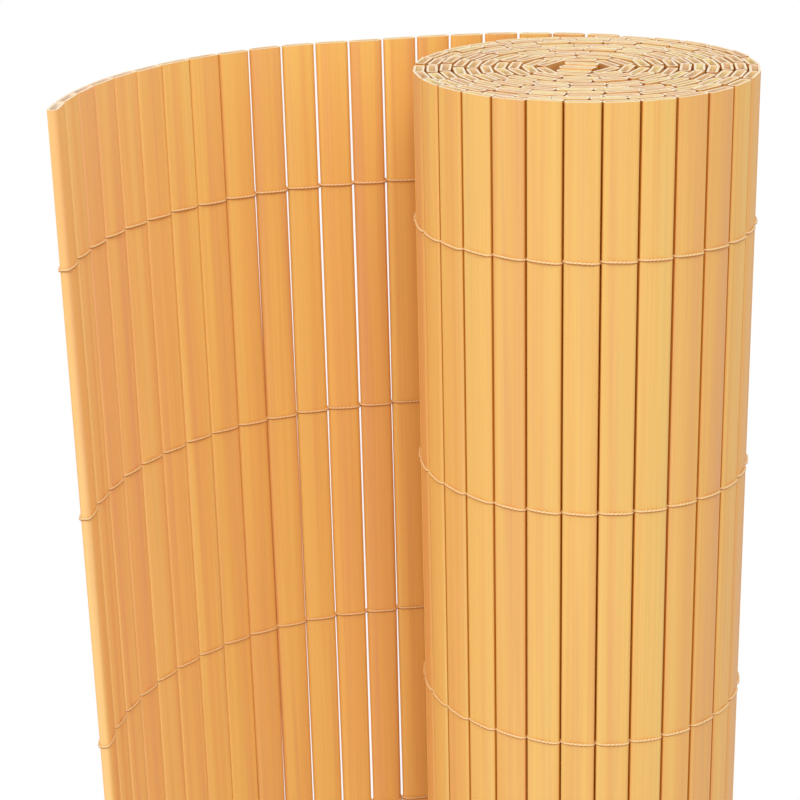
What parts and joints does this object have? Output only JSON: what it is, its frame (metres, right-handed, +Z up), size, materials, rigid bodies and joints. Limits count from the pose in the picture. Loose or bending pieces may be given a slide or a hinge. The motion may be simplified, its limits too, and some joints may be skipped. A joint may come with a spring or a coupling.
{
  "type": "pvc privacy screen",
  "caption": "Rolled balcony privacy screen of hollow plastic slats laced with twine, standing on end with its free end unrolled.",
  "frame": {"origin": "on the ground under the middle of the screen's box", "axes": "+Z up along the slats, +X along the open run's side from its free end to the roll, +Y away from the viewer"},
  "size_m": [0.2622, 0.1356, 0.9],
  "materials": {
    "rolled_slat": "satin extruded PVC in bamboo tones, streaked along its length",
    "open_slat": "satin extruded PVC in bamboo tones, streaked along its length",
    "lacing_cord": "two-ply beige twine"
  },
  "bodies": {
    "root": {"cord_row_1": "lacing_cord", "cord_row_2": "lacing_cord", "cord_row_3": "lacing_cord", "cord_row_4": "lacing_cord", "cord_row_5": "lacing_cord", "cord_row_6": "lacing_cord", "cord_row_7": "lacing_cord", "cord_row_8": "lacing_cord", "cord_row_9": "lacing_cord", "open_slat_01": "open_slat", "open_slat_02": "open_slat", "open_slat_03": "open_slat", "open_slat_04": "open_slat", "open_slat_05": "open_slat", "open_slat_06": "open_slat", "open_slat_07": "open_slat", "open_slat_08": "open_slat", "open_slat_09": "open_slat", "open_slat_10": "open_slat", "open_slat_11": "open_slat", "open_slat_12": "open_slat", "open_slat_13": "open_slat", "open_slat_14": "open_slat", "open_slat_15": "open_slat", "open_slat_16": "open_slat", "open_slat_17": "open_slat", "open_slat_18": "open_slat", "open_slat_19": "open_slat", "open_slat_20": "open_slat", "roll_core": "rolled_slat", "roll_turn_01": "rolled_slat", "roll_turn_02": "rolled_slat", "roll_turn_03": "rolled_slat", "roll_turn_04": "rolled_slat", "roll_turn_05": "rolled_slat", "roll_turn_06": "rolled_slat", "roll_turn_07": "rolled_slat", "roll_turn_08": "rolled_slat", "roll_turn_09": "rolled_slat", "roll_turn_10": "rolled_slat", "roll_turn_11": "rolled_slat"}
  },
  "joints": []
}
